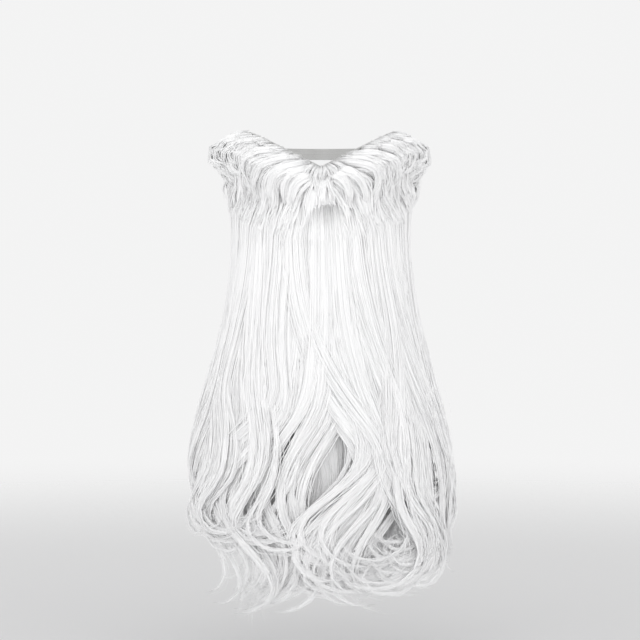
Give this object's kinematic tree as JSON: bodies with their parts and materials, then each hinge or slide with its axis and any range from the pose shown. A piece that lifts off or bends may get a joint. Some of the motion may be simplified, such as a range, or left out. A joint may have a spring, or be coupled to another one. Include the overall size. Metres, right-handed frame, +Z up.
{
  "type": "fake beard",
  "caption": "Long wavy false beard with a full moustache, sewn on a knitted face base with a mouth slit and an elastic strap that passes behind the head.",
  "frame": {"origin": "the point on the wearer's upper lip that the middle of the base rests on", "axes": "+Z up, -Y the way the wearer looks, +X to the wearer's left"},
  "size_m": [0.2651, 0.2308, 0.4894],
  "materials": {
    "white_fibre": "glossy synthetic fibre",
    "white_knit": "fine knitted net",
    "white_elastic": "ribbed elastic"
  },
  "bodies": {
    "root": {"net_base": "white_knit", "elastic_strap": "white_elastic", "lower_row": "white_fibre", "upper_row": "white_fibre", "moustache_left": "white_fibre", "moustache_right": "white_fibre"}
  },
  "joints": []
}
